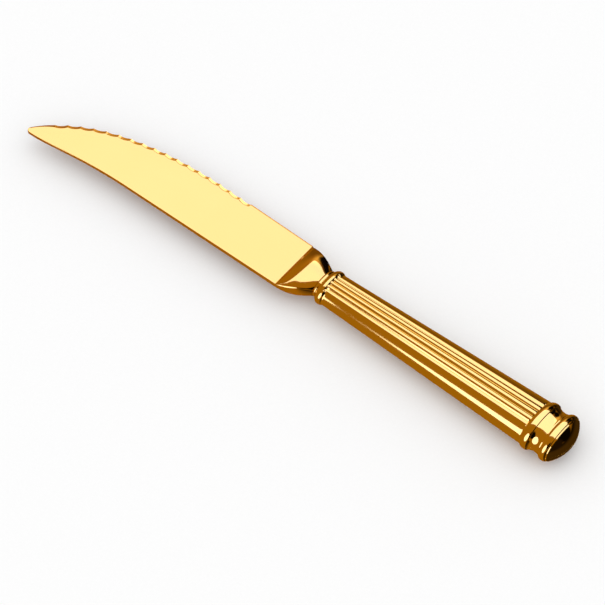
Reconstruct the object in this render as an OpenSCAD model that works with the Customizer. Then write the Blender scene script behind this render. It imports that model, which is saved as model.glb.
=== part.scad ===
// Steak knife with a forged blade and bolster and a hollow, reeded handle.
// The handle is two stamped half shells brazed along their narrow sides, closed at the mouth by
// a ferrule, filled with cement round the blade's tang and weighted by a slug near the butt.
// X runs from the tip to the pommel, Y towards the cutting edge, Z out of the blade's flat side.

/* [Blade] */
// Length of the blade, from the tip to the bolster
blade_len = 115.6; // [90:0.1:150]
// Height of the belly of the cutting edge above the knife's axis
belly_off = 11.4; // [9:0.1:15]
// Height of the cutting edge above the axis at the bolster
heel_off = 10.5; // [8:0.1:13]
// Depth of the spine below the axis
spine_off = 11.6; // [8:0.1:14]
// Depth of the tip's lowest point below the axis
tip_drop = 15; // [12:0.1:18]
// Radius of the blunt tip
tip_r = 1.4; // [1:0.1:3]
// Distance from the tip at which the belly runs level
belly_len = 72; // [55:1:85]
// Distance from the tip over which the spine sweeps back
sweep_len = 46; // [30:1:60]
// Thickness of the spine at the bolster
spine_t = 2; // [1.4:0.1:3]
// Thickness of the blade at the heel of the edge
heel_t = 1; // [0.9:0.1:1.4]
// Thickness of the spine at the tip
tip_t = 1.2; // [1:0.1:1.6]

/* [Serration] */
// Number of scallops
scallops = 17; // [8:1:22]
// Length of one scallop along the edge
scallop_len = 4.92; // [3:0.02:5.5]
// Distance of the first scallop's middle from the tip, along the edge
scallop_start = 11.4; // [8:0.1:20]
// Depth of a scallop in the edge
scallop_d = 0.55; // [0.3:0.05:0.8]
// Width of the ground bevel on the upper side
bevel_w = 1.1; // [0.6:0.1:1.6]
// Width of the plain bevel between the scallops and the heel
heel_bevel = 0.5; // [0.2:0.1:1]

/* [Bolster and tang] */
// Length of the bolster
bolster_len = 12.8; // [8:0.1:18]
// Height of the bolster's crown above the axis
crown_h = 4; // [3.5:0.1:6]
// Height of the bolster's side wall above the axis, at its tallest
wall_h = 2.3; // [1.5:0.1:3]
// Length of the tang beyond the bolster
tang_len = 30; // [20:1:60]
// Width of the tang
tang_w = 7.5; // [5:0.1:9]
// Thickness of the tang
tang_t = 3.5; // [2:0.1:4]
// Depth of the keying notches in the tang's sides
notch_d = 1.4; // [0.5:0.1:2]

/* [Handle] */
// Thickness of the handle as a share of its width
oval = 0.63; // [0.55:0.01:0.9]
// Thickness of the ferrule
ferrule_t = 1.5; // [1:0.1:2.5]
// Width of the ferrule and of the handle's mouth
neck_w = 12.6; // [11:0.1:15]
// Length from the mouth to the crest of the collar
collar_len = 2.1; // [1.5:0.1:4]
// Width of the collar
collar_w = 15.7; // [14:0.1:19]
// Length from the crest of the collar to the start of the reeds
collar_fall = 0.7; // [0.5:0.1:3]
// Length of the reeded grip
grip_len = 92.5; // [70:0.1:120]
// Width of the grip next to the collar
grip_front_w = 14.3; // [13:0.1:18]
// Width of the grip at the pommel
grip_back_w = 19.8; // [16:0.1:24]
// Number of reeds on each side of the handle
reeds = 5; // [3:1:9]
// Share of the handle's width that the reeds cover, of which the outer two roll over to the sides
reed_band = 0.707; // [0.5:0.001:0.8]
// Depth of the grooves between the reeds, at the pommel
reed_d = 0.55; // [0.2:0.05:0.8]
// Wall of a half shell under the grooves
shell_t = 1; // [0.6:0.1:1.2]
// Thickness of the braze between the half shells
braze_t = 0.15; // [0.05:0.05:0.3]

/* [Pommel] */
// Length of the plain band behind the reeds
band_len = 0.8; // [0.4:0.1:2]
// Length of the first bead
bead_len = 4.3; // [3:0.1:7]
// Width of the first bead
bead_w = 21.7; // [20:0.1:26]
// Length of the cove between the beads
cove_len = 4.1; // [2:0.1:6]
// Width of the handle in the cove
cove_w = 18.8; // [16:0.1:19]
// Length of the end bead
end_bead_len = 3.6; // [3:0.1:6]
// Width of the end bead
end_bead_w = 21.6; // [20:0.1:26]
// Width of the end dome at its foot
dome_w = 20.4; // [15:0.1:21]
// Height of the end dome
dome_h = 4; // [1.5:0.1:5]

/* [Filling] */
// Clearance of the tang in the ferrule
tang_gap = 0.1; // [0.05:0.01:0.3]
// Cement left round the weight
cement_skin = 0.4; // [0.3:0.1:1.5]
// Distance between the tang's end and the weight
weight_gap = 2; // [1:0.5:10]
// Metal left between the cavity and the end of the pommel
end_wall = 4.5; // [3:0.1:8]

/* [Hidden] */

gold = "#e9b94a";
pale_gold = "#fbe69a";

// Places along the knife
bolster_end = blade_len + bolster_len;
mouth_x = bolster_end + ferrule_t;
collar_x = mouth_x + collar_len;
grip_x = collar_x + collar_fall;
grip_end = grip_x + grip_len;
bead_x = grip_end + band_len;
cove_x = bead_x + bead_len;
end_bead_x = cove_x + cove_len;
dome_x = end_bead_x + end_bead_len;
knife_len = dome_x + dome_h;
cavity_end = knife_len - end_wall;
weight_x = bolster_end + tang_len + weight_gap;

// Half widths of the handle
neck_a = neck_w / 2;
collar_a = collar_w / 2;
front_a = grip_front_w / 2;
back_a = grip_back_w / 2;
rest_h = oval * max(bead_w, end_bead_w) / 2 + braze_t / 2;

// Samples along curves and round turned shapes
curve_n = 24;
turn_n = 96;

// Points on a cubic curve with four control points
function cubic(p, t) = pow(1 - t, 3) * p[0] + 3 * pow(1 - t, 2) * t * p[1]
    + 3 * (1 - t) * t * t * p[2] + pow(t, 3) * p[3];
function curve(p, n = curve_n) = [for (i = [0:n]) cubic(p, i / n)];

// Radius of an arc over half a chord and its rise
function arc_r(half, rise) = (half * half + rise * rise) / (2 * rise);

// The bolster ends a little smaller than the ferrule, and narrows to that from the blade's width
bolster_a = 0.96 * neck_a;
function bolster_side(off, d) = bolster_a + (off - bolster_a) * cos(90 * min(1, d / bolster_len));
// Inset of the bolster's side behind the heel
heel_inset = 0.3;

// Blade outline: blunt tip, belly, straight heel, spine and its sweep back to the tip.
// The pulls are the curves' handles as shares of their lengths
belly_dir = 53;
belly_pull = [0.36, 0.31];
sweep_pull = [0.52, 0.22];
tip_c = [tip_r, tip_r - tip_drop];
belly_start = tip_c + tip_r * [cos(belly_dir + 90), sin(belly_dir + 90)];
belly = curve([belly_start,
               belly_start + belly_pull[0] * belly_len * [cos(belly_dir), sin(belly_dir)],
               [belly_len * (1 - belly_pull[1]), belly_off],
               [belly_len, belly_off]]);
spine_sweep = curve([[sweep_len, -spine_off],
                     [sweep_len * (1 - sweep_pull[0]), -spine_off],
                     [tip_r + sweep_pull[1] * sweep_len, -tip_drop],
                     [tip_r, -tip_drop]]);
tip_arc = [for (i = [1:7]) let(a = 270 - i * (180 - belly_dir) / 8)
    tip_c + tip_r * [cos(a), sin(a)]];
heel = [blade_len, heel_off];
edge_line = concat(belly, [heel]);

// The blade runs on inside the bolster for this length, inset from the bolster's sides
blade_root = 4;
root_inset = 0.3;
root_x = blade_len + blade_root;
blade_outline = concat(tip_arc, edge_line,
    [[root_x, bolster_side(heel_off - heel_inset, blade_root) - root_inset],
     [root_x, root_inset - bolster_side(spine_off, blade_root)],
     [blade_len, -spine_off]], spine_sweep);

// Point and direction on a chain of points at a distance along it
function reach(p, d, i = 0) = let(l = norm(p[i + 1] - p[i]))
    d <= l || i + 2 == len(p) ? [p[i] + (p[i + 1] - p[i]) * d / l, (p[i + 1] - p[i]) / l]
                              : reach(p, d - l, i + 1);

// Half thickness of the blade falls evenly from spine to edge and from bolster to tip
fall_x = (spine_t - tip_t) / 2 / blade_len;
fall_y = (spine_t - heel_t) / 2 / (spine_off + heel_off);
function half_t(p) = spine_t / 2 - fall_x * (blade_len - p[0]) - fall_y * (p[1] + spine_off);
slab_l = 2 * blade_len;
slab_h = 4 * spine_t;

// Lean and radius of the wheel that opens the bevel and leaves a scallop of this length and depth
function wheel_tilt(h) = atan(bevel_w / (2 * h));
function wheel_d(h) = scallop_d * cos(wheel_tilt(h));
function wheel_r(h) = arc_r(scallop_len / 2, wheel_d(h));
wheel_h = 6 * spine_t;

// The bolster starts inside the blade with a short ramp, and its crown rises over this share of its length
crown_rise = 0.5;
crown_start = 0.55;
crown_pow = 2.3;
ramp_len = 1.7;
ramp_share = 0.36;
swell_pow = 1.3;
// The side wall reaches its full height at this share of the length, and stays under the crown
wall_rise = 0.83;
wall_share = 0.9;
// The wall loses this share of its height on the way down to the neck
wall_fall = 0.3;
// Rings of the bolster, closer together on the ramp
bolster_n = 16;
ring_pow = 1.6;
bolster_across = 8;

// Half width of the grip between its two ends
function grip_a(x) = front_a + (back_a - front_a) * (x - grip_x) / grip_len;

// Reeds in a section of half width 1: middle, outward direction and radius of each
groove = reed_d / back_a;
function oval_point(u) = [u, oval * sqrt(1 - u * u)];
function oval_out(u) = let(v = [u, sqrt(1 - u * u) / oval]) v / norm(v);
function reed_u(i) = reed_band * ((2 * i + 1) / reeds - 1);
function reed_radius(u) = let(
    side = reed_band / reeds,
    out = oval_out(u),
    drop = (oval_point(u) - (oval_point(u - side) + oval_point(u + side)) / 2) * out)
    arc_r(side / out[1], drop + groove);
function reed_mid(u) = oval_point(u) - reed_radius(u) * oval_out(u);
// Flatness of the core under the reeds, which stays just below the grooves
core_oval = oval - 1.6 * groove;

// The cavity is drawn straight from the mouth to the pommel. It keeps the shell's wall, and lets the tang in
cavity_mouth_h = oval * neck_a - shell_t;
cavity_front = max(neck_a - shell_t,
    (tang_w / 2 + tang_gap) / sqrt(1 - pow((tang_t / 2 + tang_gap) / cavity_mouth_h, 2)));
cavity_back = cove_w / 2 - shell_t;
cavity_oval = min(cavity_mouth_h / cavity_front,
                  (oval * back_a - reed_d - shell_t) / cavity_back);
function cavity_r(x) = cavity_front
    + (cavity_back - cavity_front) * min(1, (x - mouth_x) / (bead_x - mouth_x));
// Room by which a cutting shape runs past the face that it opens
cut_past = 1;

// The knife lies on its flat side, with its origin under its middle
module place() {
    translate([-knife_len / 2, (tip_drop - belly_off) / 2, rest_h]) children();
}

// Turns an outline of half widths along the knife, flattened to an oval; 180 turns the upper half
module oval_turn(ratio, angle = 360) {
    scale([1, 1, ratio])
        rotate([90, 0, 0])
            rotate([0, 90, 0])
                rotate_extrude(angle = angle, $fn = turn_n)
                    children();
}

// Room above the plane of the seam, from a height upwards
module upper_room(from) {
    translate([0, -bead_w, from]) cube([2 * knife_len, 2 * bead_w, bead_w]);
}

// Round bar from one point to another, as thick as the radius at each end
module bar(p1, r1, p2, r2) {
    v = p2 - p1;
    translate(p1)
        rotate([0, acos(v[2] / norm(v)), atan2(v[1], v[0])])
            cylinder(r1 = r1, r2 = r2, h = norm(v), $fn = turn_n);
}

// One closed ring of points per station, joined into a solid
module loft(rings) {
    n = len(rings[0]);
    m = len(rings);
    sides = [for (i = [0:m - 2], j = [0:n - 1]) let(k = (j + 1) % n)
        [i * n + j, (i + 1) * n + j, (i + 1) * n + k, i * n + k]];
    caps = [[for (j = [0:n - 1]) j], [for (j = [n - 1:-1:0]) (m - 1) * n + j]];
    polyhedron([for (r = rings, p = r) p], concat(sides, caps), convexity = 8);
}

// Room above or below one side of the blade, whose plane tilts towards edge and tip
module blade_side(up) {
    translate([blade_len, -spine_off, up * spine_t / 2])
        rotate([-up * atan(fall_y), -up * atan(fall_x), 0])
            translate([-slab_l / 2, -slab_l / 2, up > 0 ? 0 : -slab_h])
                cube([slab_l, slab_l, slab_h]);
}

// Grinding wheel's track for each scallop, leaning so that it opens a bevel on the upper side
module serration() {
    for (i = [0:scallops - 1]) {
        at = reach(edge_line, scallop_start + scallop_len * i);
        h = half_t(at[0]);
        translate([at[0][0], at[0][1], -h])
            rotate([0, 0, atan2(at[1][1], at[1][0])])
                rotate([wheel_tilt(h), 0, 0])
                    translate([0, wheel_r(h) - wheel_d(h), -wheel_h / 2])
                        cylinder(r = wheel_r(h), h = wheel_h, $fn = turn_n);
    }
}

// Plain bevel from the last scallop to the heel, opening upwards from the edge's lower corner
module heel_grind() {
    last = reach(edge_line, scallop_start + scallop_len * (scallops - 0.5));
    h = half_t(heel);
    translate([last[0][0], last[0][1], -h])
        rotate([0, 0, atan2(last[1][1], last[1][0])])
            rotate([atan(heel_bevel / (2 * h)), 0, 0])
                translate([0, 0, -wheel_h / 2])
                    cube([norm(heel - last[0]), wheel_h, wheel_h]);
}

module blade_plate() {
    difference() {
        translate([0, 0, -spine_t])
            linear_extrude(2 * spine_t) polygon(blade_outline);
        blade_side(1);
        blade_side(-1);
        serration();
        heel_grind();
    }
}

// Bolster section: upright side walls with a crease, and a crowned top and bottom
function bolster_ring(d) = let(
    t = d / bolster_len,
    ramp = min(1, d / ramp_len),
    swell = pow(sin(90 * min(1, t / crown_rise)), swell_pow),
    rise = ramp_share * ramp * ramp * (3 - 2 * ramp) + (1 - ramp_share) * swell,
    start = crown_start * spine_t / 2,
    settle = max(0, (t - crown_rise) / (1 - crown_rise)),
    top = start + (crown_h - start) * rise + (oval * bolster_a - crown_h) * settle * settle,
    wall = start + (wall_h - start) * sin(90 * min(1, t / wall_rise)),
    side = min(top * wall_share, wall * (1 - wall_fall * settle * settle)),
    wide = [for (off = [heel_off - heel_inset, spine_off]) bolster_side(off, d)],
    upper = [for (i = [-bolster_across:bolster_across]) let(u = -i / bolster_across)
        [blade_len + d, u * (u > 0 ? wide[0] : wide[1]), side + (top - side) * (1 - pow(abs(u), crown_pow))]])
    concat(upper, [for (i = [len(upper) - 1:-1:0]) [upper[i][0], upper[i][1], -upper[i][2]]]);

module bolster() {
    loft([for (i = [0:bolster_n]) bolster_ring(bolster_len * pow(i / bolster_n, ring_pow))]);
}

// The tang has two pairs of notches that key it into the cement
module tang() {
    tang_end = bolster_end + tang_len;
    difference() {
        translate([bolster_end - blade_root, -tang_w / 2, -tang_t / 2])
            cube([tang_len + blade_root, tang_w, tang_t]);
        for (i = [1:2], side = [-1, 1])
            translate([tang_end - i * tang_len / 4, side * tang_w / 2, 0])
                cylinder(r = notch_d, h = 2 * tang_t, center = true, $fn = 32);
    }
}

module blade() {
    color(pale_gold) place() {
        blade_plate();
        bolster();
        tang();
    }
}

// Ring between bolster and handle, with a rounded rim and a slot for the tang
module neck_ferrule() {
    rim_r = ferrule_t / 2;
    color(gold) place() difference() {
        oval_turn(oval) {
            translate([0, bolster_end]) square([neck_a - rim_r, ferrule_t]);
            translate([neck_a - rim_r, bolster_end + rim_r]) circle(r = rim_r, $fn = turn_n);
        }
        translate([bolster_end - cut_past, -tang_w / 2 - tang_gap, -tang_t / 2 - tang_gap])
            cube([ferrule_t + 2 * cut_past, tang_w + 2 * tang_gap, tang_t + 2 * tang_gap]);
    }
}

// Disc that rises from the half width foot to a over half its length, or sinks when a is less
module moulding(x, half, a, foot) {
    r = arc_r(half, abs(a - foot));
    translate([a > foot ? a - r : a + r, x]) circle(r = r, $fn = turn_n);
}

// Half widths along the knife: collar, straight grip, bead, cove, end bead and dome.
// The cove is sunk into the back of the bead, and the end bead stands up behind it
module handle_outline() {
    dome_r = arc_r(dome_w / 2, dome_h);
    bead_mid = bead_x + bead_len / 2;
    end_bead_mid = end_bead_x + end_bead_len / 2;
    // The stock between the beads is half as high as the first one, before the cove is cut
    stock_a = (back_a + bead_w / 2) / 2;
    intersection() {
        union() {
            difference() {
                union() {
                    polygon([[0, mouth_x], [neck_a, mouth_x], [front_a, grip_x], [back_a, grip_end],
                             [back_a, bead_mid], [stock_a, bead_mid], [stock_a, end_bead_mid],
                             [dome_w / 2, dome_x], [0, dome_x]]);
                    moulding(collar_x, collar_len, collar_a, neck_a);
                    moulding(bead_mid, bead_len / 2, bead_w / 2, back_a);
                }
                moulding(cove_x + cove_len / 2, cove_len / 2, cove_w / 2, back_a);
            }
            moulding(end_bead_mid, end_bead_len / 2, end_bead_w / 2, back_a);
            translate([0, knife_len - dome_r]) intersection() {
                circle(r = dome_r, $fn = turn_n);
                translate([0, dome_r - dome_h]) square([dome_w, dome_h]);
            }
        }
        translate([0, mouth_x]) square([bead_w, knife_len - mouth_x]);
    }
}

// Room of the reeds on the upper side, out to the crests of the outer two, which meet the plain oval there
module reed_zone() {
    linear_extrude(back_a)
        polygon([for (p = [[grip_x, 1], [grip_end, 1], [grip_end, -1], [grip_x, -1]])
            [p[0], p[1] * reed_u(reeds - 1) * grip_a(p[0])]]);
}

// Reeds side by side on a flatter core, all tapering with the grip
module reed_bundle() {
    from = grip_x - cut_past;
    to = grip_end + cut_past;
    oval_turn(core_oval)
        polygon([[0, from], [grip_a(from), from], [grip_a(to), to], [0, to]]);
    for (i = [0:reeds - 1]) {
        u = reed_u(i);
        m = reed_mid(u);
        bar([from, grip_a(from) * m[0], grip_a(from) * m[1]], grip_a(from) * reed_radius(u),
            [to, grip_a(to) * m[0], grip_a(to) * m[1]], grip_a(to) * reed_radius(u));
    }
}

// The cavity runs out past the mouth, so that it opens both shells
module cavity_outline() {
    polygon([[0, mouth_x - cut_past], [cavity_front, mouth_x - cut_past], [cavity_front, mouth_x],
             [cavity_back, bead_x], [cavity_back, cavity_end], [0, cavity_end]]);
}

// One stamped half: the oval body above the braze, with the reeds drawn into its top
module half_shell() {
    difference() {
        union() {
            difference() {
                translate([0, 0, braze_t / 2]) oval_turn(oval, 180) handle_outline();
                reed_zone();
            }
            intersection() {
                reed_bundle();
                reed_zone();
                upper_room(braze_t / 2);
            }
        }
        oval_turn(cavity_oval) cavity_outline();
    }
}

module upper_half_shell() {
    color(gold) place() half_shell();
}

module lower_half_shell() {
    color(gold) place() mirror([0, 0, 1]) half_shell();
}

// Braze drawn into the seam, flush with both shells inside and out
module seam_braze() {
    color("#c9a25a") place()
        translate([0, 0, -braze_t / 2])
            linear_extrude(braze_t)
                for (side = [0, 1])
                    mirror([0, side])
                        rotate(-90)
                            difference() {
                                handle_outline();
                                cavity_outline();
                            }
}

// Filling from a place in the cavity to its end, in two halves that meet in the seam's plane
module filling(from, inset = 0) {
    for (side = [0, 1])
        intersection() {
            oval_turn(cavity_oval)
                polygon([[0, from], [cavity_r(from) - inset, from], [cavity_back - inset, bead_x],
                         [cavity_back - inset, cavity_end], [0, cavity_end]]);
            mirror([0, 0, side]) upper_room(0);
        }
}

module bedding_cement() {
    color("#b9b2a4") place() difference() {
        filling(mouth_x);
        tang();
        filling(weight_x, cement_skin);
    }
}

module balance_weight() {
    color("#8d9094") place() filling(weight_x, cement_skin);
}

blade();
neck_ferrule();
upper_half_shell();
lower_half_shell();
seam_braze();
bedding_cement();
balance_weight();
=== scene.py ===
from math import acos, atan2, cos, hypot, pi, radians, sin, sqrt

import bmesh
import bpy
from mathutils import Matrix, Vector


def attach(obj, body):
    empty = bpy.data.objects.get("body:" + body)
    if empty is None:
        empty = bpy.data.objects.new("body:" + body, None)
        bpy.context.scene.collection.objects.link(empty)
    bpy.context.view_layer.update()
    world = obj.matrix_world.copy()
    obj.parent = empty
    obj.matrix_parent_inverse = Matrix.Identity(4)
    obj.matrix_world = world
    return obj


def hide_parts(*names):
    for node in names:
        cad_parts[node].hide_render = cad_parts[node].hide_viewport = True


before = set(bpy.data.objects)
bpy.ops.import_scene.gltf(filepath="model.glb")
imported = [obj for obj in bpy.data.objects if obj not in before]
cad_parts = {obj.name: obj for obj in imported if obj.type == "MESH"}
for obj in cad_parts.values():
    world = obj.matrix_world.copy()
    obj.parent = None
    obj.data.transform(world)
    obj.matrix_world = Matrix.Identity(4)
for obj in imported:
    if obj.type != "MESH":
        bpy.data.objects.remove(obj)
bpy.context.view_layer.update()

# Blade, bolster and tang
# One steel forging: a flat-ground blade, a bolster that swells from it to the neck, and a notched tang.
# The scallops are ground from the upper side only, then the steel is mirror polished and vapour coated gold.

# Everything is drawn in millimetres along the knife, with x from the tip, y towards the edge and z out of
# the flat side, and then moved to the frame, where the knife lies on the floor with its middle at the origin
MM = 0.001
TO_FRAME = Vector((-121.0, 1.8, 6.9105))

BLADE_LEN = 115.6
SPINE_T = 2.0
HEEL_T = 1.0
TIP_T = 1.2
# The edge runs in a curved belly from the tip and then straight to the heel
BELLY_LEN = 72.0
BELLY_OFF = 11.4
BELLY_TURN = radians(53)
HEEL_OFF = 10.5
# The spine runs straight from the bolster and then sweeps up to the blunt tip
SPINE_OFF = 11.6
SWEEP_LEN = 46.0
TIP_DROP = 15.0
TIP_R = 1.4
# Where the handles of both curves stand, as shares of their length
BELLY_FRONT = 0.36
BELLY_BACK = 0.69
SWEEP_FRONT = 0.22
SWEEP_BACK = 0.48


def cubic(ends, t):
    a, b, c, d = ends
    return (1 - t) ** 3 * a + 3 * (1 - t) ** 2 * t * b + 3 * (1 - t) * t * t * c + t ** 3 * d


def half_thick(x, y):
    """Half the blade's thickness, which falls evenly towards the tip and towards the edge."""
    fall_x = (SPINE_T - TIP_T) / 2 / BLADE_LEN
    fall_y = (SPINE_T - HEEL_T) / 2 / (SPINE_OFF + HEEL_OFF)
    return SPINE_T / 2 - fall_x * (BLADE_LEN - x) - fall_y * (y + SPINE_OFF)


# The edge and the spine both start at the foremost point of the blunt tip and end at the bolster
tip_middle = Vector((TIP_R, TIP_R - TIP_DROP))
belly_start = tip_middle + TIP_R * Vector((-sin(BELLY_TURN), cos(BELLY_TURN)))
belly = (belly_start,
         belly_start + BELLY_FRONT * BELLY_LEN * Vector((cos(BELLY_TURN), sin(BELLY_TURN))),
         Vector((BELLY_BACK * BELLY_LEN, BELLY_OFF)),
         Vector((BELLY_LEN, BELLY_OFF)))
sweep = (Vector((TIP_R, -TIP_DROP)),
         Vector((TIP_R + SWEEP_FRONT * SWEEP_LEN, -TIP_DROP)),
         Vector((SWEEP_BACK * SWEEP_LEN, -SPINE_OFF)),
         Vector((SWEEP_LEN, -SPINE_OFF)))
heel = Vector((BLADE_LEN, HEEL_OFF))


def tip_arc(turn, steps):
    turns = [turn * i / steps for i in range(steps)]
    return [tip_middle + TIP_R * Vector((-cos(t), sin(t))) for t in turns]


TIP_STEPS = 8
BELLY_STEPS = 560
HEEL_STEPS = 240
SWEEP_STEPS = 80
edge_line = tip_arc(pi / 2 - BELLY_TURN, TIP_STEPS)
edge_line += [cubic(belly, i / BELLY_STEPS) for i in range(BELLY_STEPS)]
edge_line += [belly[3].lerp(heel, i / HEEL_STEPS) for i in range(HEEL_STEPS + 1)]
spine_line = tip_arc(-pi / 2, 2 * TIP_STEPS)
spine_line += [cubic(sweep, i / SWEEP_STEPS) for i in range(SWEEP_STEPS + 1)]
spine_line.append(Vector((BLADE_LEN, -SPINE_OFF)))


def spine_at(x):
    for a, b in zip(spine_line, spine_line[1:]):
        if x < b.x:
            return a.lerp(b, max(0.0, x - a.x) / (b.x - a.x))
    return spine_line[-1]


# Seventeen scallops, each one pass of a wheel, with a bevel that runs out towards the tip and the heel
SCALLOPS = 17
SCALLOP_LEN = 4.92
SCALLOP_D = 0.55
FIRST_SCALLOP = 11.4
BEVEL_W = 1.4
HEEL_BEVEL = 0.5
EDGE_T = 0.12
first_cut = TIP_R * (pi / 2 - BELLY_TURN) + FIRST_SCALLOP - SCALLOP_LEN / 2
last_cut = first_cut + SCALLOPS * SCALLOP_LEN
wheel_r = ((SCALLOP_LEN / 2) ** 2 + SCALLOP_D ** 2) / (2 * SCALLOP_D)


def cut_depth(run):
    """How deep the wheel cuts into the outline, at this length along the edge from the tip."""
    if not first_cut < run < last_cut:
        return 0.0
    off = (run - first_cut) % SCALLOP_LEN - SCALLOP_LEN / 2
    return sqrt(wheel_r ** 2 - off ** 2) - wheel_r + SCALLOP_D


def bevel_width(run):
    if run < first_cut:
        return HEEL_BEVEL + (BEVEL_W - HEEL_BEVEL) * (run / first_cut) ** 2
    return BEVEL_W if run < last_cut else HEEL_BEVEL


FLAT_STEPS = 24
ROUND_STEPS = 6
# A row of points this close to the bevel keeps the line between flat and bevel crisp
CRISP = 0.05
# The wheel leaves a thin line where it bites, a shallow facet and a steep last bit at the very edge,
# as shares of the bevel's width and of the drop that is left at its end
FACETS = [(0.12, 0.0), (0.16, 0.0), (0.93, 0.0), (0.97, 0.5), (1.0, 1.0)]
BITE_D = 0.06
FACET_MOST = 0.6


def ring(x_at, edge_y, spine_y, inner_y, thick, corner_r, foot, slope, rounded):
    """Points round the forging: lower side, spine, upper side, and down the bevel to the edge."""
    points = []
    # The spine's corners are rounded from the lean of the side next to them to upright
    lean = atan2(thick(spine_y + corner_r) - thick(spine_y + corner_r / 2), corner_r / 2)
    shoulder = spine_y + corner_r * (1 - sin(lean))
    for i in range(FLAT_STEPS + 1):
        y = edge_y + (shoulder - edge_y) * i / FLAT_STEPS
        points.append(Vector((x_at(y), y, -thick(y))))
    tall = thick(shoulder) - corner_r * cos(lean)
    for i in range(1, 2 * ROUND_STEPS):
        turn = lean + (pi / 2 - lean) * (1 - abs(1 - i / ROUND_STEPS))
        side = (i > ROUND_STEPS) - (i < ROUND_STEPS)
        y = spine_y + corner_r * (1 - sin(turn))
        points.append(Vector((x_at(spine_y), y, side * (tall + corner_r * cos(turn)))))
    for i in range(FLAT_STEPS + 1):
        y = shoulder + (inner_y - shoulder) * i / FLAT_STEPS
        if i == FLAT_STEPS - 1:
            y = max(y, inner_y - CRISP)
        points.append(Vector((x_at(y), y, thick(y))))
    # The bevel ends in a thin land, and where the forging is rounded its facets give way to a soft corner
    wide = hypot(x_at(edge_y) - x_at(inner_y), edge_y - inner_y)
    drop = thick(inner_y) + thick(edge_y) - foot
    for i, (out, steep) in enumerate(FACETS):
        t = (i + 1) / len(FACETS)
        shallow = min(FACET_MOST, (BITE_D + slope * out * wide) / drop)
        down = shallow + (1 - shallow) * steep
        out += rounded * (1 - (1 - t) ** 3 - out)
        down += rounded * (t - down)
        y = inner_y + (edge_y - inner_y) * out
        points.append(Vector((x_at(y), y, thick(inner_y) - drop * down)))
    return points


SPINE_R = 0.2
SCALLOP_SLOPE = 0.19
PLAIN_SLOPE = 0.27
# The bevel takes at most this share of the blade, and the rings start where the tip is this wide
BEVEL_SHARE = 0.3
NARROWEST = 0.05


def blade_ring(edge, spine, inner, slope):
    """The ring through one point of the edge, across the blade to the spine."""

    def x_at(y):
        if y > inner.y:
            return inner.x + (edge.x - inner.x) * (y - inner.y) / (edge.y - inner.y)
        return spine.x + (inner.x - spine.x) * max(0.0, (y - spine.y) / (inner.y - spine.y))

    def thick(y):
        return half_thick(x_at(y), y)

    corner_r = min(SPINE_R, (edge - spine).length / 4)
    return ring(x_at, edge.y, spine.y, inner.y, thick, corner_r, EDGE_T, slope, rounded=0)


rings = []
run = 0.0
for i, p in enumerate(edge_line):
    ahead = edge_line[min(i + 1, len(edge_line) - 1)]
    behind = edge_line[max(i - 1, 0)]
    run += (p - behind).length
    inward = Vector((ahead.y - behind.y, behind.x - ahead.x)).normalized()
    spine = spine_at(p.x)
    edge = p + inward * cut_depth(run)
    wide = (edge - spine).length
    if wide > NARROWEST:
        inner = edge + inward * min(bevel_width(run), BEVEL_SHARE * wide)
        slope = SCALLOP_SLOPE if first_cut < run < last_cut else PLAIN_SLOPE
        rings.append(blade_ring(edge, spine, inner, slope))

# The bolster leaves the blade in a small fillet and a steep ramp, swells to a crown and settles to the neck
BOLSTER_LEN = 12.8
NECK_A = 6.3
NECK_SHARE = 0.96
BOLSTER_A = NECK_SHARE * NECK_A
OVAL = 0.63
RAMP_LEN = 1.7
RAMP_SHARE = 0.36
SWELL_POWER = 1.3
CROWN_H = 4.0
CROWN_POWER = 2.3
NECK_POWER = 1.8
# Its flank rises to full height before the neck, stays under the crown and falls a little at the neck,
# and its corner on the spine's side grows rounder away from the blade
WALL_H = 2.3
WALL_FULL = 0.83
WALL_MOST = 0.9
WALL_FALL = 0.3
WALL_R = 1.2
WALL_R_LEN = 3
# It steps in from the heel, where the ground edge turns into a rounded corner
HEEL_STEP = 0.3
HEEL_STEP_LEN = 0.8
CORNER_R = 0.25
CORNER_LEN = 1.2


def ease(t):
    t = min(1.0, max(0.0, t))
    return t * t * (3 - 2 * t)


def bolster_ring(d):
    """The ring at a distance d behind the blade."""
    t = d / BOLSTER_LEN
    settle = max(0.0, 2 * t - 1) ** 2
    swell = sin(pi / 2 * min(1.0, 2 * t)) ** SWELL_POWER
    rise = RAMP_SHARE * ease(d / RAMP_LEN) + (1 - RAMP_SHARE) * swell
    wall_rise = sin(pi / 2 * min(1.0, t / WALL_FULL))
    narrow = cos(pi / 2 * t)
    power = CROWN_POWER + (NECK_POWER - CROWN_POWER) * ease(t)
    edge_wide = BOLSTER_A + (HEEL_OFF - HEEL_STEP - BOLSTER_A) * narrow
    spine_wide = BOLSTER_A + (SPINE_OFF - BOLSTER_A) * narrow

    def height(y):
        u = min(1.0, abs(y) / (edge_wide if y > 0 else spine_wide))
        plain = half_thick(BLADE_LEN, y)
        top = plain + (CROWN_H - plain) * rise + (OVAL * BOLSTER_A - CROWN_H) * settle
        wall = (plain + (WALL_H - plain) * wall_rise) * (1 - WALL_FALL * settle)
        wall = min(WALL_MOST * top, wall)
        return wall + (top - wall) * (1 - u ** power)

    grown = ease(d / CORNER_LEN)
    edge_y = HEEL_OFF + (edge_wide - HEEL_OFF) * ease(d / HEEL_STEP_LEN)
    inner_y = edge_y - HEEL_BEVEL + (HEEL_BEVEL - CORNER_R) * grown
    spine_r = SPINE_R + (WALL_R - SPINE_R) * ease(d / WALL_R_LEN)
    foot = EDGE_T + (CORNER_R - EDGE_T) * grown
    return ring(lambda y: BLADE_LEN + d, edge_y, -spine_wide, inner_y, height, spine_r, foot,
                PLAIN_SLOPE, rounded=grown)


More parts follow.
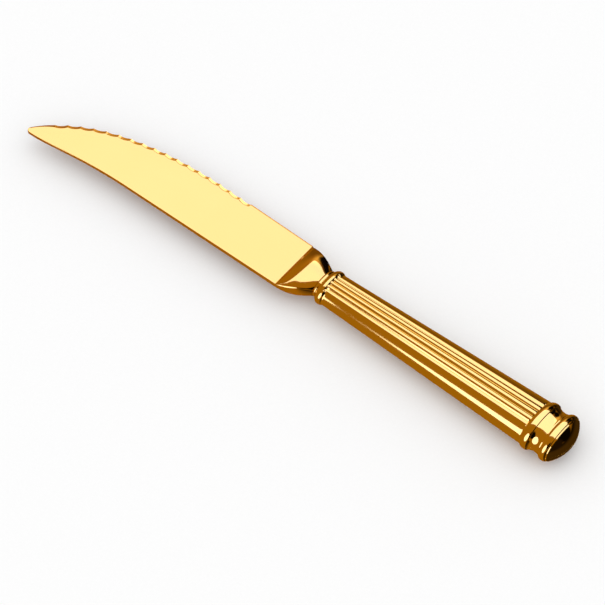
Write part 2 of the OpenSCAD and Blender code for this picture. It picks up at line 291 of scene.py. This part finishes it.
# The rows of points crowd towards the ramp
BOLSTER_STEPS = 72
BOLSTER_CROWD = 1.6
for i in range(1, BOLSTER_STEPS + 1):
    rings.append(bolster_ring(BOLSTER_LEN * (i / BOLSTER_STEPS) ** BOLSTER_CROWD))

# The tang is a flat bar with two pairs of round notches that key it into the cement
TANG_LEN = 30.0
TANG_W = 7.5
TANG_T = 3.5
TANG_R = 0.15
TANG_LAND = 0.05
KEY_R = 1.4
KEY_STEPS = 12
KEY_LEAD = 0.01
bolster_end = BLADE_LEN + BOLSTER_LEN
keys = [TANG_LEN / 2, 3 * TANG_LEN / 4]


def tang_ring(d):
    """The ring at a distance d behind the bolster."""
    half = TANG_W / 2
    for middle in keys:
        half -= sqrt(max(0.0, KEY_R ** 2 - (d - middle) ** 2))
    return ring(lambda y: bolster_end + d, half, -half, half - TANG_LAND, lambda y: TANG_T / 2,
                TANG_R, TANG_LAND, PLAIN_SLOPE, rounded=1)


# A row just before the first notch keeps its corner crisp
tang_steps = [0.0, keys[0] - KEY_R - KEY_LEAD, TANG_LEN]
for middle in keys:
    tang_steps += [middle - KEY_R * cos(pi * i / KEY_STEPS) for i in range(KEY_STEPS + 1)]
rings += [tang_ring(d) for d in sorted(tang_steps)]

# Points of a mesh that lie this close together are one
WELD = 0.0005


def skin(rings):
    """A grid with a row for each ring, wrapped round the piece and closed at both ends."""
    rows, columns = len(rings), len(rings[0])
    bm = bmesh.new()
    bmesh.ops.create_grid(bm, x_segments=rows - 1, y_segments=columns, size=1)
    for v in bm.verts:
        row = round((v.co.x + 1) / 2 * (rows - 1))
        column = round((v.co.y + 1) / 2 * columns) % columns
        v.co = rings[row][column]
    bmesh.ops.remove_doubles(bm, verts=bm.verts, dist=WELD)
    bmesh.ops.holes_fill(bm, edges=[e for e in bm.edges if e.is_boundary])
    return bm


def put_on(bm, name, material, node, crease):
    """Turns a mesh outwards, moves it to the frame, and gives it its material and its place in the knife."""
    bmesh.ops.recalc_face_normals(bm, faces=bm.faces)
    bmesh.ops.translate(bm, verts=bm.verts, vec=TO_FRAME)
    bmesh.ops.scale(bm, verts=bm.verts, vec=(MM, MM, MM))
    for f in bm.faces:
        f.smooth = True
    mesh = bpy.data.meshes.new(name)
    bm.to_mesh(mesh)
    bm.free()
    mesh.set_sharp_from_angle(angle=radians(crease))
    mesh.materials.append(material)
    piece = bpy.data.objects.new(name, mesh)
    bpy.context.scene.collection.objects.link(piece)
    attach(piece, "root")
    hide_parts(node)


def linear(code):
    """An sRGB hex colour as linear red, green and blue, with full cover."""
    shares = [int(code[i:i + 2], 16) / 255 for i in (1, 3, 5)]
    return [c / 12.92 if c <= 0.04045 else ((c + 0.055) / 1.055) ** 2.4 for c in shares] + [1.0]


def add(tree, kind, inputs=None, **settings):
    """Adds a node with its settings, and sets or links its inputs."""
    node = tree.nodes.new(kind)
    for name, value in settings.items():
        setattr(node, name, value)
    for name, value in (inputs or {}).items():
        if isinstance(value, bpy.types.NodeSocket):
            tree.links.new(value, node.inputs[name])
        else:
            node.inputs[name].default_value = value
    return node


def new_finish(name):
    """A material with its node tree, its shader and the place on the piece that its patterns follow."""
    material = bpy.data.materials.new(name)
    material.use_nodes = True
    tree = material.node_tree
    place = add(tree, "ShaderNodeTexCoord").outputs["Object"]
    return material, tree, tree.nodes["Principled BSDF"], place


# Sizes of the coat's patterns in millimetres. Its thickness drifts slowly, which shifts its colour a little.
# The lines of the polishing mop are too fine to show, so they are drawn wider than they are.
DRIFT_SIZE = 25
MOP_LINE = 0.25
MOP_DRAWN = 12


def gold_coat(name, thin, thick):
    """Gold vapour coat on mirror-polished steel: sharp warm reflections, with a faint lay along the knife."""
    material, tree, shader, place = new_finish(name)
    shader.inputs["Metallic"].default_value = 1.0
    drift = add(tree, "ShaderNodeTexNoise", {"Vector": place, "Scale": 1 / (DRIFT_SIZE * MM), "Detail": 2.0})
    tint = add(tree, "ShaderNodeMixRGB",
               {"Fac": drift.outputs["Fac"], "Color1": linear(thin), "Color2": linear(thick)})
    tree.links.new(tint.outputs["Color"], shader.inputs["Base Color"])
    along = add(tree, "ShaderNodeMapping", {"Vector": place, "Scale": (1 / MOP_DRAWN, 1, 1)})
    lines = add(tree, "ShaderNodeTexNoise",
                {"Vector": along.outputs["Vector"], "Scale": 1 / (MOP_LINE * MM), "Detail": 3.0})
    gloss = add(tree, "ShaderNodeMapRange", {"Value": lines.outputs["Fac"], "From Min": 0.3, "From Max": 0.7,
                                             "To Min": 0.04, "To Max": 0.09})
    tree.links.new(gloss.outputs["Result"], shader.inputs["Roughness"])
    bump = add(tree, "ShaderNodeBump",
               {"Height": lines.outputs["Fac"], "Strength": 0.02, "Distance": 0.02 * MM})
    tree.links.new(bump.outputs["Normal"], shader.inputs["Normal"])
    return material


blade_gold = gold_coat("mirror_gold_blade_steel", "#FFDD97", "#FFE19D")
put_on(skin(rings), "blade_forging", blade_gold, "blade", crease=25)

# Neck ferrule
# A thin oval ring of steel with a rounded rim, slipped over the tang and pinched between bolster and handle.
# It is turned, flattened and coated with the handle.
FERRULE_T = 1.5
FERRULE_STEPS = 96
RIM_STEPS = 12
SLOT_GAP = 0.1
# Points this close to a line or a surface of the drawing are taken to lie on it
NEAR = 0.001


def chain(points):
    """A line of edges through points of length and half width, standing in the plane of the seam."""
    bm = bmesh.new()
    made = [bm.verts.new((x, a, 0.0)) for x, a in points]
    for p, q in zip(made, made[1:]):
        bm.edges.new((p, q))
    return bm


rim_r = FERRULE_T / 2
rim_turns = [pi * i / RIM_STEPS for i in range(1, RIM_STEPS)]
hole_r = TANG_T / 2 + 2 * SLOT_GAP
mouth_x = bolster_end + FERRULE_T
section = [(bolster_end, hole_r), (bolster_end, NECK_A - rim_r)]
section += [(bolster_end + rim_r - rim_r * cos(t), NECK_A - rim_r + rim_r * sin(t)) for t in rim_turns]
section += [(mouth_x, NECK_A - rim_r), (mouth_x, hole_r), (bolster_end, hole_r)]
bm = chain(section)
bmesh.ops.spin(bm, geom=bm.verts[:] + bm.edges[:], cent=(0, 0, 0), axis=(1, 0, 0), angle=2 * pi,
               steps=FERRULE_STEPS, use_merge=True)
bmesh.ops.remove_doubles(bm, verts=bm.verts, dist=WELD)
for v in bm.verts:
    if hypot(v.co.y, v.co.z) > hole_r + NEAR:
        v.co.z *= OVAL
    else:
        # The hole's rim is drawn out to the tang's slot
        turn = atan2(v.co.z, v.co.y)
        slot_y = TANG_W / 2 + SLOT_GAP
        slot_z = TANG_T / 2 + SLOT_GAP
        reach = 1 / max(abs(cos(turn)) / slot_y, abs(sin(turn)) / slot_z)
        v.co.y = reach * cos(turn)
        v.co.z = reach * sin(turn)
handle_gold = gold_coat("mirror_gold_stamped_steel", "#FFE29A", "#FFE7A4")
put_on(bm, "ferrule_ring", handle_gold, "neck_ferrule", crease=30)

# Half shells
# Two stamped halves make the handle: collar, grip with five reeds a side, two beads with a cove, and a dome.
# They are brazed along the narrow sides, polished flush there and coated.

# Lengths along the handle and half widths across it, from the neck to the pommel
COLLAR_LEN = 2.1
COLLAR_A = 7.85
COLLAR_FALL = 0.7
GRIP_LEN = 92.5
FRONT_A = 7.15
BACK_A = 9.9
BAND_LEN = 0.8
BEAD_LEN = 4.3
BEAD_A = 10.85
COVE_LEN = 4.1
COVE_A = 9.4
END_LEN = 3.6
END_A = 10.8
DOME_A = 10.2
DOME_H = 4.0
collar_x = mouth_x + COLLAR_LEN
grip_x = collar_x + COLLAR_FALL
grip_end = grip_x + GRIP_LEN
bead_x = grip_end + BAND_LEN
bead_mid = bead_x + BEAD_LEN / 2
cove_x = bead_x + BEAD_LEN
cove_mid = cove_x + COVE_LEN / 2
end_x = cove_x + COVE_LEN
end_mid = end_x + END_LEN / 2
dome_x = end_x + END_LEN
knife_end = dome_x + DOME_H


def grip_a(x):
    return FRONT_A + (BACK_A - FRONT_A) * (x - grip_x) / GRIP_LEN


def moulding(middle, half, crest, foot):
    """Half width along a round that rises from foot to crest, or sinks to it, over half its length."""
    rise = crest - foot
    r = (half ** 2 + rise ** 2) / (2 * abs(rise))
    way = 1 if rise > 0 else -1
    return lambda x: crest - way * (r - sqrt(max(0.0, r ** 2 - (x - middle) ** 2)))


def straight(x0, a0, x1, a1):
    return lambda x: a0 + (a1 - a0) * (x - x0) / (x1 - x0)


CROSSING_TOL = 1e-9


def crossing(one, other, low, high):
    """The place between low and high where two lines of half width cross, found by halving."""
    rising = one(low) < other(low)
    while high - low > CROSSING_TOL:
        middle = (low + high) / 2
        if (one(middle) < other(middle)) == rising:
            low = middle
        else:
            high = middle
    return low


collar = moulding(collar_x, COLLAR_LEN, COLLAR_A, NECK_A)
collar_end = crossing(collar, grip_a, collar_x + COLLAR_FALL, collar_x + COLLAR_LEN)
bead = moulding(bead_mid, BEAD_LEN / 2, BEAD_A, BACK_A)
end_bead = moulding(end_mid, END_LEN / 2, END_A, BACK_A)
dome_r = (DOME_A ** 2 + DOME_H ** 2) / (2 * DOME_H)


def dome(x):
    return sqrt(max(0.0, dome_r ** 2 - (x - knife_end + dome_r) ** 2))


# The cove cuts into the bead in a ridge, which lies at least this far before the bead's own foot
RIDGE_FORE = 0.2
wide_cove = moulding(cove_mid, COVE_LEN / 2, COVE_A, BACK_A)
ridge_x = crossing(bead, wide_cove, bead_mid, cove_x - RIDGE_FORE)
ridge_a = bead(ridge_x)
# A sharp quirk drops from each bead, into the cove and onto the lip at the foot of the dome
QUIRK_LEN = 0.25
QUIRK_D = 0.36
LIP_FALL = 0.3
LIP_LEN = 0.4
LIP_A = 10.05
quirk_x = ridge_x + QUIRK_LEN
quirk_a = ridge_a - QUIRK_D
cove = moulding(cove_mid, cove_mid - quirk_x, COVE_A, quirk_a)
rim_x = dome_x - 2 * QUIRK_LEN
lip_x = rim_x + LIP_FALL
lip_end = lip_x + LIP_LEN
# A narrow flat listel parts the cove from the end bead
LISTEL_FORE = 0.3
LISTEL_AFT = 0.1
listel_x = end_x - LISTEL_FORE
listel_end = end_x + LISTEL_AFT
listel_a = cove(listel_x)

# Each stretch has its line of half width, its end, and how far polishing has rounded the corner there
COLLAR_SOFT = 0.4
stretches = [(collar, collar_end, COLLAR_SOFT),
             (grip_a, grip_end, 0.05),
             (lambda x: BACK_A, bead_x, 0.25),
             (bead, ridge_x, 0.05),
             (straight(ridge_x, ridge_a, quirk_x, quirk_a), quirk_x, 0.05),
             (cove, listel_x, 0.06),
             (lambda x: listel_a, listel_end, 0.05),
             (end_bead, rim_x, 0.1),
             (straight(rim_x, end_bead(rim_x), lip_x, LIP_A), lip_x, 0.05),
             (straight(lip_x, LIP_A, lip_end, dome(lip_end)), lip_end, 0.08),
             (dome, knife_end, 0.0)]


def half_width(x):
    for (line, end, soft), (after, _, _) in zip(stretches, stretches[1:] + stretches[-1:]):
        if soft and abs(x - end) < soft:
            t = (x - end + soft) / (2 * soft)
            return (1 - t) ** 2 * line(end - soft) + 2 * t * (1 - t) * line(end) + t * t * after(end + soft)
        if x < end:
            return line(x)
    return 0.0


# At the collar the grooves start in short notches, and the reeds' crests in a longer fall a little earlier
NOTCH_FORE = 0.3
NOTCH_LEN = 0.7
CREST_FORE = 0.25
CREST_FALL = 1.2
REED_NOSE = 0.9
notch_x = grip_x - NOTCH_FORE
crest_x = notch_x - CREST_FORE

# Rows of points stand close together on the mouldings and at both ends of the reeds
BEAD_STEP = 0.02
ROW_GAP = 0.12
FEWEST_ROWS = 4
GRIP_ROWS = 9
DOME_ROWS = 24
marks = [mouth_x, collar_x, crest_x, notch_x, notch_x + NOTCH_LEN, notch_x + REED_NOSE]
marks += [collar_end + COLLAR_SOFT, bead_x - REED_NOSE, bead_x - BEAD_STEP, bead_x + BEAD_STEP]
corners = [x for _, end, soft in stretches[:-1] for x in (end - soft, end + soft)]
marks += [x for x in corners if x > bead_x + BEAD_STEP]
outline = []
for start, end in zip(marks, marks[1:]):
    on_grip = end - start > GRIP_LEN / 2
    rows = GRIP_ROWS if on_grip else max(FEWEST_ROWS, round((end - start) / ROW_GAP))
    places = [start + (end - start) * i / rows for i in range(rows)]
    outline += [(x, half_width(x)) for x in places]
dome_turn = acos((marks[-1] - knife_end + dome_r) / dome_r)
dome_turns = [dome_turn * i / DOME_ROWS for i in range(DOME_ROWS, -1, -1)]
outline += [(knife_end - dome_r + dome_r * cos(t), dome_r * sin(t)) for t in dome_turns]

# Each reed is part of a round bar that lies against the oval, in a section of half width 1.
# The core between the bars lies under the oval by this many times a groove's depth.
REEDS = 5
REED_BAND = 0.707
REED_D = 0.55
CORE_DEPTH = 1.6
groove = REED_D / BACK_A
core_oval = OVAL - CORE_DEPTH * groove
outer_crest = REED_BAND * (1 - 1 / REEDS)


def oval_point(u):
    return Vector((u, OVAL * sqrt(1 - u * u)))


def reed_bar(u):
    out = Vector((u, sqrt(1 - u * u) / OVAL)).normalized()
    side = REED_BAND / REEDS
    drop = (oval_point(u) - (oval_point(u - side) + oval_point(u + side)) / 2).dot(out) + groove
    half = side / out.y
    r = (half ** 2 + drop ** 2) / (2 * drop)
    return oval_point(u) - r * out, r


bars = [reed_bar(REED_BAND * ((2 * i + 1) / REEDS - 1)) for i in range(REEDS)]


def reed_height(u, nose):
    core = core_oval * sqrt(1 - u * u)
    return max([core] + [m.y + sqrt(max(0.0, (r * nose) ** 2 - (u - m.x) ** 2)) for m, r in bars])


# The stamping sinks the grooves deeper, for their width, at the neck than at the pommel
DEEP_FRONT = 1.3
NOSE_DROP = 0.25


def reeded(x, u, z):
    """Height of the reeded shell, where the plain one has the height z."""
    # The collar falls gently to the crest of each reed and steeply into each groove
    crest = min(z, grip_a(x) * oval_point(u).y)
    fall = z - ease((x - crest_x) / CREST_FALL) * (z - crest)
    # Each reed is rounded off at both ends like the nose of a bar
    short = max(0.0, 1 - min(max(0.0, x - notch_x), bead_x - x) / REED_NOSE)
    nose = 1 - NOSE_DROP * (1 - sqrt(1 - short ** 2))
    deep = DEEP_FRONT + (1 - DEEP_FRONT) * min(1.0, (x - grip_x) / GRIP_LEN)
    dip = max(0.0, oval_point(u).y - reed_height(u, nose)) * grip_a(x) * deep
    return fall - min(1.0, max(0.0, (x - notch_x) / NOTCH_LEN)) * dip


# The cavity inside is drawn straight from the mouth to the pommel, and the braze parts the two halves
SHELL_T = 1.0
BRAZE_T = 0.15
END_WALL = 4.5
cavity_front = NECK_A - SHELL_T
cavity_back = COVE_A - SHELL_T
cavity_end = knife_end - END_WALL
cavity_oval = min((OVAL * NECK_A - SHELL_T) / cavity_front, (OVAL * BACK_A - REED_D - SHELL_T) / cavity_back)
cavity = [(cavity_end, 0.0), (cavity_end, cavity_back), (bead_x, cavity_back), (mouth_x, cavity_front)]


def cavity_a(x):
    return cavity_front + (cavity_back - cavity_front) * min(1.0, (x - mouth_x) / (bead_x - mouth_x))


# The turn goes in arcs, so that a line of points follows each groove and the crest of each outer reed
SIDE_STEPS = 20
CREST_STEPS = 7
REED_STEPS = 12
grooves = [REED_BAND * (2 * i / REEDS - 1) for i in range(1, REEDS)]
arc_ends = [acos(u) for u in [1.0, outer_crest] + grooves[::-1] + [-outer_crest, -1.0]]
arc_steps = [SIDE_STEPS, CREST_STEPS] + [REED_STEPS] * (REEDS - 2) + [CREST_STEPS, SIDE_STEPS]


def half_shell(side):
    """Turns the outlines of cavity and handle half round, flattens them to ovals and sinks the grooves."""
    bm = chain(cavity + outline)
    geom = bm.verts[:] + bm.edges[:]
    for start, end, count in zip(arc_ends, arc_ends[1:], arc_steps):
        turned = bmesh.ops.spin(bm, geom=geom, cent=(0, 0, 0), axis=(1, 0, 0), angle=end - start, steps=count)
        geom = turned["geom_last"]
    for v in bm.verts:
        x = v.co.x
        a = hypot(v.co.y, v.co.z)
        u = v.co.y / a if a > NEAR else 0.0
        inside = x <= cavity_end + NEAR and a < cavity_a(x) + NEAR
        v.co.z *= cavity_oval if inside else OVAL
        if not inside and crest_x < x < bead_x and abs(u) < outer_crest + NEAR:
            v.co.z = reeded(x, u, v.co.z)
    bmesh.ops.remove_doubles(bm, verts=bm.verts, dist=WELD)
    bmesh.ops.translate(bm, verts=bm.verts, vec=(0, 0, BRAZE_T / 2))
    bmesh.ops.edgeloop_fill(bm, edges=[e for e in bm.edges if e.is_boundary])
    if side < 0:
        bmesh.ops.scale(bm, verts=bm.verts, vec=(1, 1, -1))
    return bm


put_on(half_shell(1), "upper_shell", handle_gold, "upper_half_shell", crease=18)
put_on(half_shell(-1), "lower_shell", handle_gold, "lower_half_shell", crease=18)

# Seam braze
# A strip of braze drawn into the seam between the two shells, along the narrow sides and round the pommel.
# It is polished flush with them and takes the same coat, so the seam all but vanishes.


def finish_node(name, material):
    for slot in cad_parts[name].material_slots:
        slot.material = material


finish_node("seam_braze", handle_gold)

# Balance weight
# A slug of hot-rolled steel bar, turned to the cavity's taper and left as it came from the mill.
# It lies in the cement near the pommel and shifts the balance towards the hand.

# Blue-grey mill scale in patches over brighter metal, with rolling marks along the bar, in millimetres
SCALE_PATCH = 4
ROLL_MARK = 0.4
ROLL_DRAWN = 15
mill_steel, tree, shader, place = new_finish("hot_rolled_mill_steel")
shader.inputs["Metallic"].default_value = 1.0
patches = add(tree, "ShaderNodeTexNoise", {"Vector": place, "Scale": 1 / (SCALE_PATCH * MM), "Detail": 5.0})
scale_tint = add(tree, "ShaderNodeMixRGB", {"Fac": patches.outputs["Fac"],
                                            "Color1": linear("#7E8084"), "Color2": linear("#A9AAAC")})
tree.links.new(scale_tint.outputs["Color"], shader.inputs["Base Color"])
rolled = add(tree, "ShaderNodeMapping", {"Vector": place, "Scale": (1 / ROLL_DRAWN, 1, 1)})
roll_marks = add(tree, "ShaderNodeTexNoise",
                 {"Vector": rolled.outputs["Vector"], "Scale": 1 / (ROLL_MARK * MM), "Detail": 3.0})
dulled = add(tree, "ShaderNodeMapRange", {"Value": roll_marks.outputs["Fac"], "To Min": 0.35, "To Max": 0.6})
tree.links.new(dulled.outputs["Result"], shader.inputs["Roughness"])
ridges = add(tree, "ShaderNodeBump",
             {"Height": roll_marks.outputs["Fac"], "Strength": 0.3, "Distance": 0.05 * MM})
tree.links.new(ridges.outputs["Normal"], shader.inputs["Normal"])
finish_node("balance_weight", mill_steel)

# Bedding cement
# Cutler's cement of resin and stone dust, poured hot round the tang and the weight, where it sets hard.
# It fills what the weight and the tang leave of the cavity.

# The stone dust gives a dull, speckled, slightly pitted surface
DUST_GRAIN = 0.3
cement, tree, shader, place = new_finish("cutlers_resin_cement")
dust = add(tree, "ShaderNodeTexNoise",
           {"Vector": place, "Scale": 1 / (DUST_GRAIN * MM), "Detail": 4.0, "Roughness": 0.7})
speckle = add(tree, "ShaderNodeMixRGB", {"Fac": dust.outputs["Fac"],
                                         "Color1": linear("#8F8574"), "Color2": linear("#CFC8B8")})
tree.links.new(speckle.outputs["Color"], shader.inputs["Base Color"])
dull = add(tree, "ShaderNodeMapRange", {"Value": dust.outputs["Fac"], "To Min": 0.75, "To Max": 0.95})
tree.links.new(dull.outputs["Result"], shader.inputs["Roughness"])
pits = add(tree, "ShaderNodeBump", {"Height": dust.outputs["Fac"], "Strength": 0.5, "Distance": 0.1 * MM})
tree.links.new(pits.outputs["Normal"], shader.inputs["Normal"])
finish_node("bedding_cement", cement)

# Floor and light
# A plain white floor under a long overhead soft box and a lower one on the spine's side, in a brown room.
# Boxes and room show only in the polish, and the room's colours glow as painted reflections. White
# surroundings light the floor, which the metal doesn't show.

# The studio is measured in metres
FLOOR_REACH = 8
FLOOR_GAP = 0.0006
ROOM_R = 3


def stage_mesh(name, bm, material):
    mesh = bpy.data.meshes.new(name)
    bm.to_mesh(mesh)
    bm.free()
    mesh.materials.append(material)
    stand = bpy.data.objects.new(name, mesh)
    bpy.context.scene.collection.objects.link(stand)
    return stand


# Matt white paper with a faint tooth, in millimetres
PAPER_TOOTH = 0.8
paper, tree, shader, place = new_finish("matt_white_paper")
tooth = add(tree, "ShaderNodeTexNoise", {"Vector": place, "Scale": 1 / (PAPER_TOOTH * MM), "Detail": 2.0})
paper_tint = add(tree, "ShaderNodeMixRGB", {"Fac": tooth.outputs["Fac"],
                                            "Color1": linear("#F6F6F6"), "Color2": linear("#FAFAFA")})
tree.links.new(paper_tint.outputs["Color"], shader.inputs["Base Color"])
shader.inputs["Roughness"].default_value = 0.95
shader.inputs["Specular IOR Level"].default_value = 0.0
bm = bmesh.new()
bmesh.ops.create_grid(bm, x_segments=1, y_segments=1, size=FLOOR_REACH)
bmesh.ops.translate(bm, verts=bm.verts, vec=(0, 0, -FLOOR_GAP))
floor = stage_mesh("floor", bm, paper)
floor.visible_glossy = False

# A glowing ball seen only in the polish, painted with its reflections: brown walls with an amber glow beyond
# the overhead box, and painted dark spots low on the edge's side, low behind the pommel and at five places,
# which draw the dark lines in the mouldings and on the bolster. Places on the walls are directions from the
# knife, on a ball of radius 1.
# Painted reflections: this ball glows at strength 1 and only glossy rays see it, so its colours are what the
# polish reflects
reflection_glow, tree, shader, place = new_finish("painted_reflection_glow")
tree.nodes.remove(shader)
across = add(tree, "ShaderNodeSeparateXYZ", {"Vector": place}).outputs


def ramp(value, start, end):
    rising = add(tree, "ShaderNodeMapRange", {"Value": value, "From Min": start, "From Max": end})
    return rising.outputs["Result"]


def both(one, other):
    return add(tree, "ShaderNodeMath", {0: one, 1: other}, operation="MULTIPLY").outputs["Value"]


def painted(share, under, over):
    colours = [linear(c) if isinstance(c, str) else c for c in (under, over)]
    mix = add(tree, "ShaderNodeMixRGB", {"Fac": share, "Color1": colours[0], "Color2": colours[1]})
    return mix.outputs["Color"]


# Painted shade: a round dark spot on the glowing ball, around one direction from the knife
def painted_dark_spot(middle, rim, inner):
    towards = Vector(middle).normalized()
    near = add(tree, "ShaderNodeVectorMath", {0: place, 1: towards}, operation="DOT_PRODUCT")
    return ramp(near.outputs["Value"], rim, inner)


low = ramp(across["Z"], 0.25, 0.1)
# Painted reflection of the surroundings: brown all round, and a darker brown on the edge's side
edge_side = both(ramp(across["Y"], 0.35, 0.7), ramp(across["Z"], -0.5, 0.2))
# Painted shade: near black low on the edge's side, towards the pommel, which the handle's edge side reflects
# as dark
painted_dark_patch = both(ramp(across["X"], -0.33, -0.2), low)
# Painted glow: an amber band just beyond the overhead box, darker towards the tip's side, which bevels and
# rings reflect as amber
strip = both(both(ramp(across["Z"], 0.2, 0.42), ramp(across["Z"], 0.72, 0.6)), ramp(across["X"], -0.2, -0.32))
edge_wall = painted(ramp(across["X"], -0.2, 0.0), "#6E480C", "#8A5E14")
amber = painted(ramp(across["X"], -0.42, -0.62), "#E4B055", "#A87020")
edge_wall = painted(painted_dark_patch, painted(strip, edge_wall, amber), "#0C0700")
walls = painted(edge_side, "#9C6A10", edge_wall)
# Painted shade: dark brown to near black low behind the pommel, which the dome and rings reflect
beyond = add(tree, "ShaderNodeMath", {0: across["Y"], 1: 0.35, 2: across["X"]}, operation="MULTIPLY_ADD")
shade_behind_pommel = both(ramp(beyond.outputs["Value"], 0.02, 0.2), low)
reflection_colour = painted(shade_behind_pommel, walls, painted(ramp(across["Z"], -0.2, 0.1), "#3C2808", "#0C0700"))
# Painted shade: five dark spots, which draw dark reflected lines in the mouldings and on the bolster
for middle, rim, inner, dark in [((0.8, 0.38, 0.42), 0.915, 0.945, "#080400"),
                                 ((0.93, -0.12, 0.3), 0.93, 0.96, "#1E1204"),
                                 ((0.44, -0.55, 0.65), 0.94, 0.965, "#080400"),
                                 ((0.25, 0.88, 0.42), 0.955, 0.975, "#080400"),
                                 ((-0.15, 0.9, 0.38), 0.97, 0.985, "#080400")]:
    reflection_colour = painted(painted_dark_spot(middle, rim, inner), reflection_colour, dark)
glow = add(tree, "ShaderNodeEmission", {"Color": reflection_colour, "Strength": 1.0})
tree.links.new(glow.outputs["Emission"], tree.nodes["Material Output"].inputs["Surface"])
bm = bmesh.new()
bmesh.ops.create_uvsphere(bm, u_segments=48, v_segments=24, radius=1.0)
# The ball that carries the painted reflections
room = stage_mesh("brown_room", bm, reflection_glow)
room.scale = (ROOM_R, ROOM_R, ROOM_R)
for seen in ("visible_camera", "visible_diffuse", "visible_shadow", "visible_transmission"):
    setattr(room, seen, False)


def soft_box(name, shape, middle, aim, wide, tall, level):
    """A lamp that shows only in the polish."""
    lamp = bpy.data.lights.new(name, "AREA")
    lamp.shape = shape
    lamp.size = wide
    lamp.size_y = tall
    lamp.energy = level * pi * wide * tall
    stand = bpy.data.objects.new(name, lamp)
    bpy.context.scene.collection.objects.link(stand)
    stand.location = middle
    stand.rotation_euler = (Vector(aim) - Vector(middle)).to_track_quat("-Z", "Y").to_euler()
    stand.visible_camera = False
    stand.visible_diffuse = False


# The overhead box is brighter in its core
soft_box("overhead_soft_box", "RECTANGLE", middle=(0.04, 0.62, 1.0), aim=(0.04, 0.62, 0.0),
         wide=1.72, tall=1.31, level=1.05)
soft_box("overhead_core", "RECTANGLE", middle=(0.205, 0.62, 1.0), aim=(0.205, 0.62, 0.0),
         wide=1.29, tall=1.2, level=0.3)
soft_box("side_soft_box", "ELLIPSE", middle=(-0.045, -1.2, 0.85), aim=(-0.045, 0.0, 0.85),
         wide=1.0, tall=1.5, level=1.15)

WORLD_LEVEL = 1.05
world = bpy.data.worlds.new("studio")
world.use_nodes = True
bpy.context.scene.world = world
backdrop = world.node_tree.nodes["Background"]
backdrop.inputs["Color"].default_value = (1, 1, 1, 1)
backdrop.inputs["Strength"].default_value = WORLD_LEVEL

# Camera
# It looks at a point near the neck from two metres away, where it sees the knife without much perspective.
# Its lens gives the scale of the picture, in pixels of the frame for each millimetre at that point.
CAMERA_AWAY = 2000
FRAME_PX = 605
PX_PER_MM = 2.757
SENSOR_W = 36
target = Vector((128.2, -11.22, 0.0)) + TO_FRAME
away = Vector((0.3561, -0.4443, 0.8220)).normalized()
camera = bpy.data.objects.new("camera", bpy.data.cameras.new("camera"))
bpy.context.scene.collection.objects.link(camera)
camera.location = (target + CAMERA_AWAY * away) * MM
camera.rotation_euler = (-away).to_track_quat("-Z", "Y").to_euler()
camera.data.sensor_width = SENSOR_W
camera.data.lens = PX_PER_MM * CAMERA_AWAY * SENSOR_W / FRAME_PX
camera.data.clip_end = 20
bpy.context.scene.camera = camera
bpy.context.scene.view_settings.view_transform = "Standard"
